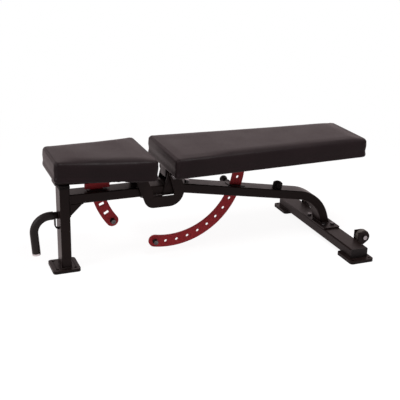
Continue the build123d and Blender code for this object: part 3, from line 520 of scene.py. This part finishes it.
def even_pad(name, node_name):
    """An evenly meshed copy of a pad's solid, with its points back on the solid's surface."""
    solid = nodes[node_name].data
    pad = bpy.data.objects.new(name, solid.copy())
    scene.collection.objects.link(pad)
    joined = pad.modifiers.new("joined_faces", "WELD")
    joined.merge_threshold = same_spot
    remesh = pad.modifiers.new("even_mesh", "REMESH")
    remesh.mode = "VOXEL"
    remesh.voxel_size = voxel_size
    baked(pad)
    surface = surface_of(solid)
    for vertex in pad.data.vertices:
        vertex.co = surface.find_nearest(vertex.co)[0]
    return pad


print("pad mesh:", round(voxel_size / MM, 1), "mm")


# %% Blow up a cover
edge_rounds = 5
cover_pressure = 6.0
cover_frames = 12
cover_cap = 3.2 * MM
calming_rounds = 6


def blow_up(pad, held_points):
    """How far air pressure moves each point, while some points are held."""
    held = pad.vertex_groups.new(name="held")
    held.add(held_points, 1.0, "REPLACE")
    cloth = pad.modifiers.new("cover", "CLOTH")
    cloth.settings.quality = 4
    cloth.settings.tension_stiffness = 30
    cloth.settings.compression_stiffness = 30
    cloth.settings.bending_stiffness = 4
    cloth.settings.use_pressure = True
    cloth.settings.uniform_pressure_force = cover_pressure
    cloth.settings.effector_weights.gravity = 0
    cloth.settings.vertex_group_mass = held.name
    cloth.point_cache.frame_end = cover_frames
    for step in range(1, cover_frames + 1):
        scene.frame_set(step)
    settled = pad.evaluated_get(bpy.context.evaluated_depsgraph_get()).to_mesh()
    moves = [after.co - before.co for before, after in zip(pad.data.vertices, settled.vertices)]
    pad.modifiers.clear()
    pad.vertex_groups.clear()
    scene.frame_set(1)
    return moves


def averaged(pad, values, rounds, kept):
    """Vectors at a pad's points, averaged with their neighbours' a few times over, some kept as they are."""
    neighbours = [[index] for index in range(len(values))]
    for edge in pad.data.edges:
        first, second = edge.vertices
        neighbours[first].append(second)
        neighbours[second].append(first)
    for index in kept:
        neighbours[index] = [index]
    for _ in range(rounds):
        values = [sum((values[other] for other in near), Vector()) / len(near) for near in neighbours]
    return values


def swell(pad, held, shares):
    """Round a pad's long edges as a stretched cover does, then swell it, by a share at each point."""
    rounded = averaged(pad, [vertex.co.copy() for vertex in pad.data.vertices], edge_rounds, held)
    for vertex, place in zip(pad.data.vertices, rounded):
        vertex.co = place
    blown = blow_up(pad, held)
    capped = [move if move.length < cover_cap else move.normalized() * cover_cap for move in blown]
    moves = averaged(pad, capped, calming_rounds, held)
    for vertex, move, share in zip(pad.data.vertices, moves, shares):
        vertex.co += move * share
    mean_move = sum(move.length for move in moves) / len(moves)
    print(pad.name, "points", len(moves), "mean move", round(mean_move / MM, 2), "mm")


print("cover: pressure", cover_pressure, "frames", cover_frames, "cap", round(cover_cap / MM, 1), "mm")

# %% [markdown]
# ## Seams
# The cover is one long panel over the top and the sides, closed by a panel at each end. Each end seam runs up
# one corner, along the top edge and down the other corner, with a row of stitches beside it. The remesh would
# have wiped such a thin line away, so it comes last: rays find the edge of the blown-up pad, the seam pulls
# the surface in along that line, and the stitches are real little capsules of thread.

# %% Find an end seam
seam_step = 1.5 * MM
ray_start = 50 * MM
lip_height = 18 * MM
corner_room = 7 * MM
corner_rays = 20
top_rays = 60
seam_easing = 8


def walked(points, step):
    """Points at an even step along a line through points."""
    steps = [(after - before).length for before, after in zip(points, points[1:])]
    count = max(2, round(sum(steps) / step))
    walk, index, passed = [], 0, 0.0
    for place in range(count + 1):
        goal = sum(steps) * place / count
        while index < len(steps) - 1 and passed + steps[index] < goal:
            passed += steps[index]
            index += 1
        walk.append(points[index].lerp(points[index + 1], min(1.0, (goal - passed) / steps[index])))
    return walk


def eased(points, rounds):
    """A line with its corners eased, ends kept."""
    for _ in range(rounds):
        points = [
            points[0],
            *((a + 2 * b + c) / 4 for a, b, c in zip(points, points[1:], points[2:])),
            points[-1],
        ]
    return points


def end_seam(pad, side):
    """Line over the edge of a pad's end: up the near corner, along the top and down the far corner."""
    spots = [vertex.co for vertex in pad.data.vertices]
    surface = surface_of(pad.data)
    over = Vector((side, 0, 1)).normalized()
    ridge = max(spots, key=over.dot)
    columns = []
    for across in (-1, 1):
        out = Vector((side, across, 0)).normalized()
        tip = max(spots, key=out.dot)
        heights = [spot.z for spot in spots if (spot.xy - tip.xy).length < 2 * corner_room]
        low, high = min(heights) + lip_height, max(heights) - corner_room
        rise = (high - low) / corner_rays
        starts = [Vector((tip.x, tip.y, low + rise * ray)) for ray in range(corner_rays + 1)]
        columns.append([surface.ray_cast(start + out * ray_start, -out)[0] for start in starts])
    near, far = columns
    first, last = near[-1].y + corner_room, far[-1].y - corner_room
    stride = (last - first) / top_rays
    starts = [Vector((ridge.x, first + stride * ray, ridge.z)) for ray in range(top_rays + 1)]
    top = [surface.ray_cast(start + over * ray_start, -over)[0] for start in starts]
    line = eased(walked([*near, *top, *reversed(far)], seam_step), seam_easing)
    return [surface.find_nearest(point)[0] for point in line]


print("seams: one point every", round(seam_step / MM, 1), "mm")


# %% Sink a seam
seam_depth = 1.1 * MM
seam_spread = 3.0 * MM


def pull_in(pad, line, depth, spread):
    """Draw a pad's surface in along a line."""
    tree = KDTree(len(line))
    for index, point in enumerate(line):
        tree.insert(point, index)
    tree.balance()
    low = min(point.x for point in line) - 3 * spread
    high = max(point.x for point in line) + 3 * spread
    close = [vertex for vertex in pad.data.vertices if low < vertex.co.x < high]
    moves = []
    for vertex in close:
        share = tree.find(vertex.co)[2] / spread
        moves.append(vertex.normal * depth * math.exp(-share * share))
    for vertex, move in zip(close, moves):
        vertex.co -= move
    pad.data.update()


print("seams:", round(seam_depth / MM, 1), "mm deep")


# %% Thread and stitches
stitch_pitch = 6 * MM
stitch_length = 4.2 * MM
thread_radius = 0.55 * MM
thread_end = 0.5


def sweep(shape, points, radii, sides, closed):
    """Add a round bar through points, with a radius at each, to a mesh under construction."""
    rings = []
    aside = None
    count = len(points)
    turns = [2 * math.pi * step / sides for step in range(sides)]
    for index, (point, radius) in enumerate(zip(points, radii)):
        before = points[index - 1] if index or closed else point
        after = points[(index + 1) % count] if index < count - 1 or closed else point
        along = (after - before).normalized()
        aside = along.orthogonal() if aside is None else aside - along * aside.dot(along)
        aside.normalize()
        up = along.cross(aside)
        spokes = [aside * math.cos(turn) + up * math.sin(turn) for turn in turns]
        rings.append([shape.verts.new(point + radius * spoke) for spoke in spokes])
    for first, second in zip(rings, rings[1:] + rings[:1] if closed else rings[1:]):
        for step in range(sides):
            other = (step + 1) % sides
            shape.faces.new((first[step], first[other], second[other], second[step]))
    if not closed:
        shape.faces.new(reversed(rings[0]))
        shape.faces.new(rings[-1])


def swept_piece(name, bars, body, material, sides=8):
    """One piece of round bars. A bar is its points, their radii, and whether it closes on itself."""
    shape = bmesh.new()
    for points, radii, closed in bars:
        sweep(shape, points, radii, sides, closed)
    mesh = bpy.data.meshes.new(name)
    shape.to_mesh(mesh)
    shape.free()
    mesh.polygons.foreach_set("use_smooth", [True] * len(mesh.polygons))
    mesh.materials.append(material)
    piece = bpy.data.objects.new(name, mesh)
    scene.collection.objects.link(piece)
    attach(piece, body)


def stitches(line):
    """Short bars of thread along a line, thinner where they dive into the cover."""
    bars = []
    ahead = round(stitch_length / seam_step)
    for start in range(0, len(line) - ahead, round(stitch_pitch / seam_step)):
        points = line[start : start + ahead + 1]
        radii = [thread_radius * (thread_end if index in (0, ahead) else 1) for index in range(ahead + 1)]
        bars.append((points, radii, False))
    return bars


print("stitches:", round(stitch_length / MM, 1), "mm every", round(stitch_pitch / MM, 1), "mm")


# %% Upholster both pads
held_band = 18 * MM
end_band = 24 * MM
swell_rise = 90 * MM
rise_length = 200 * MM
hem_drop = 4.8 * MM
stitch_set = 6.5 * MM
stitch_depth = 0.5 * MM


def upholster(name, node_name, body, still_front, rear_rise):
    """One finished pad on its body, in place of its plain solid. Its front stays flat for a length, and the
    foam rises towards its rear end."""
    pad = even_pad(name, node_name)
    spots = [vertex.co.copy() for vertex in pad.data.vertices]
    front, rear = min(spots, key=lambda spot: spot.x), max(spots, key=lambda spot: spot.x)
    first, last = (min(s.z for s in spots if abs(s.x - end.x) < held_band) for end in (front, rear))
    slope = (last - first) / (rear.x - front.x)
    heights = [spot.z - first - slope * (spot.x - front.x) for spot in spots]
    inside = front.x + end_band, rear.x - end_band
    held = [
        index
        for index, (spot, height) in enumerate(zip(spots, heights))
        if height < held_band or not inside[0] < spot.x < inside[1]
    ]
    swell(pad, held, [min(1.0, max(0.0, (spot.x - front.x - still_front) / swell_rise)) for spot in spots])
    thickness = max(heights)
    for vertex, spot, height in zip(pad.data.vertices, spots, heights):
        nearness = max(0.0, 1 - (rear.x - spot.x) / rise_length)
        vertex.co.z += rear_rise * nearness * nearness * max(0.0, height / thickness)
        vertex.co.z -= hem_drop * max(0.0, 1 - height / lip_height)
    rounder = pad.modifiers.new("rounder", "SUBSURF")
    rounder.levels = 1
    baked(pad)
    threads = []
    for side in (-1, 1):
        seam = end_seam(pad, side)
        pull_in(pad, seam, seam_depth, seam_spread)
        surface = surface_of(pad.data)
        row = [surface.find_nearest(point - Vector((side * stitch_set, 0, 0)))[0] for point in seam]
        pull_in(pad, row, stitch_depth, seam_spread / 2)
        threads += stitches(row)
    pad.data.polygons.foreach_set("use_smooth", [True] * len(pad.data.polygons))
    pad.data.materials.clear()
    pad.data.materials.append(pad_vinyl)
    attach(pad, body)
    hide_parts(node_name)
    swept_piece(f"{name}_stitches", threads, body, sewing_thread, sides=6)
    print(name, "stitches", len(threads))


# The backrest's front stays flat where it meets the seat's end when both are raised. The seat's foam is cut
# a little thicker at that end, so that the gap between the pads hardly shows.
meeting_length = 135 * MM
seat_rise = 6 * MM
upholster("backrest_cover", "back_pad", "backrest", meeting_length, 0)
upholster("seat_cover", "seat_pad", "seat", 0, seat_rise)

# %% [markdown]
# ## Weld beads
# Tubes and plates of such a frame are welded before they are painted. A bead is a row of small overlapping
# ripples, one for each stop of the torch, so every bead is a round bar whose radius rises and falls along its
# line, half sunk in the corner that it fills. The lines follow the boxes of the pieces that they join.

# %% Lines round tubes
bead_radius = 2.4 * MM
ripple = 5 * MM
ripple_points = 4
ripple_share = 0.16
tube_corner = 5 * MM
corner_steps = 6


def tube_line(middle, first, second, corner):
    """Closed line round a tube. Its half sizes are two vectors."""
    inner_first, inner_second = first - first.normalized() * corner, second - second.normalized() * corner
    points = []
    for quarter, (one, two) in enumerate(((1, 1), (-1, 1), (-1, -1), (1, -1))):
        for step in range(corner_steps):
            turn = math.pi / 2 * (quarter + step / corner_steps)
            reach = first.normalized() * math.cos(turn) + second.normalized() * math.sin(turn)
            points.append(middle + inner_first * one + inner_second * two + reach * corner)
    return [*points, points[0]]


def bead(line):
    """Rippled bar along a line, closed if the line ends where it starts."""
    closed = (line[0] - line[-1]).length < MM
    points = walked(line, ripple / ripple_points)
    if closed:
        points.pop()
    turns = [math.tau / ripple_points * index for index in range(len(points))]
    return points, [bead_radius * (1 + ripple_share * math.cos(turn)) for turn in turns], closed


print("beads:", round(2 * bead_radius / MM, 1), "mm wide, a ripple every", round(ripple / MM, 1), "mm")


# %% Weld the frame
post_low, post_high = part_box("front_post")
beam_low, beam_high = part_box("front_beam")
gusset_low, gusset_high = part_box("corner_gusset")
base_low, base_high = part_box("rear_base")
plate_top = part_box("front_foot_plate")[1].z
flange_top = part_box("leg_flange")[1].z
foot_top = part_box("rear_foot_plates")[1].z
handle_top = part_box("handle_tube")[1].z
post_middle = (post_low + post_high) / 2
post_half = (post_high - post_low) / 2
beam_half = (beam_high - beam_low) / 2
leg_half = 20 * MM
handle_radius = 13.5 * MM
barrel_radius = 12 * MM
round_share = 0.99
foot_inner = 232 * MM
# Edge of a pivot lug, along and up from the pivot in millimetres.
lug_edge = ((31.5, -47.5), (40, -76), (40, -85))

lines = [
    tube_line(
        Vector((post_middle.x, 0, plate_top)),
        Vector((post_half.x, 0, 0)),
        Vector((0, post_half.y, 0)),
        tube_corner,
    ),
    tube_line(
        Vector((post_high.x, 0, (beam_low.z + beam_high.z) / 2)),
        Vector((0, beam_half.y, 0)),
        Vector((0, 0, beam_half.z)),
        tube_corner,
    ),
    tube_line(
        Vector(((base_low.x + base_high.x) / 2, 0, flange_top)),
        Vector((leg_half, 0, 0)),
        Vector((0, beam_half.y, 0)),
        tube_corner,
    ),
    tube_line(
        Vector((post_low.x, 0, handle_top - handle_radius)),
        Vector((0, handle_radius, 0)),
        Vector((0, 0, handle_radius)),
        handle_radius * round_share,
    ),
]
for pin in ("back_pin", "seat_pin"):
    pin_low, pin_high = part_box(pin)
    axis = Vector(((pin_low.x + pin_high.x) / 2, beam_half.y, (pin_low.z + pin_high.z) / 2))
    lines.append(
        tube_line(
            axis, Vector((barrel_radius, 0, 0)), Vector((0, 0, barrel_radius)), barrel_radius * round_share
        )
    )
for x, z in ((post_high.x, gusset_low.z), (gusset_high.x, beam_low.z)):
    lines.append([Vector((x, y, z)) for y in (gusset_low.y, gusset_high.y)])
for side in (-1, 1):
    for edge in (base_low.x, base_high.x):
        lines.append([Vector((edge, side * y, foot_top)) for y in (foot_inner, base_high.y)])
    for end in (-1, 1):
        lines.append([pivot + Vector((end * x * MM, side * beam_half.y, z * MM)) for x, z in lug_edge])
beads = [bead(line) for line in lines]
swept_piece("frame_welds", beads, "frame", black_powder_coat)
print("frame welds:", len(lines))

# %% Weld the arc to the backrest
tube_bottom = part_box("back_tube")[0].z
arc_low, arc_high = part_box("back_arc")
arc_root = (274 * MM, 322 * MM)
lines = [[Vector((pivot.x + x, y, tube_bottom)) for x in arc_root] for y in (arc_low.y, arc_high.y)]
beads = [bead(line) for line in lines]
swept_piece("backrest_welds", beads, "backrest", black_powder_coat)
print("backrest welds:", len(lines))
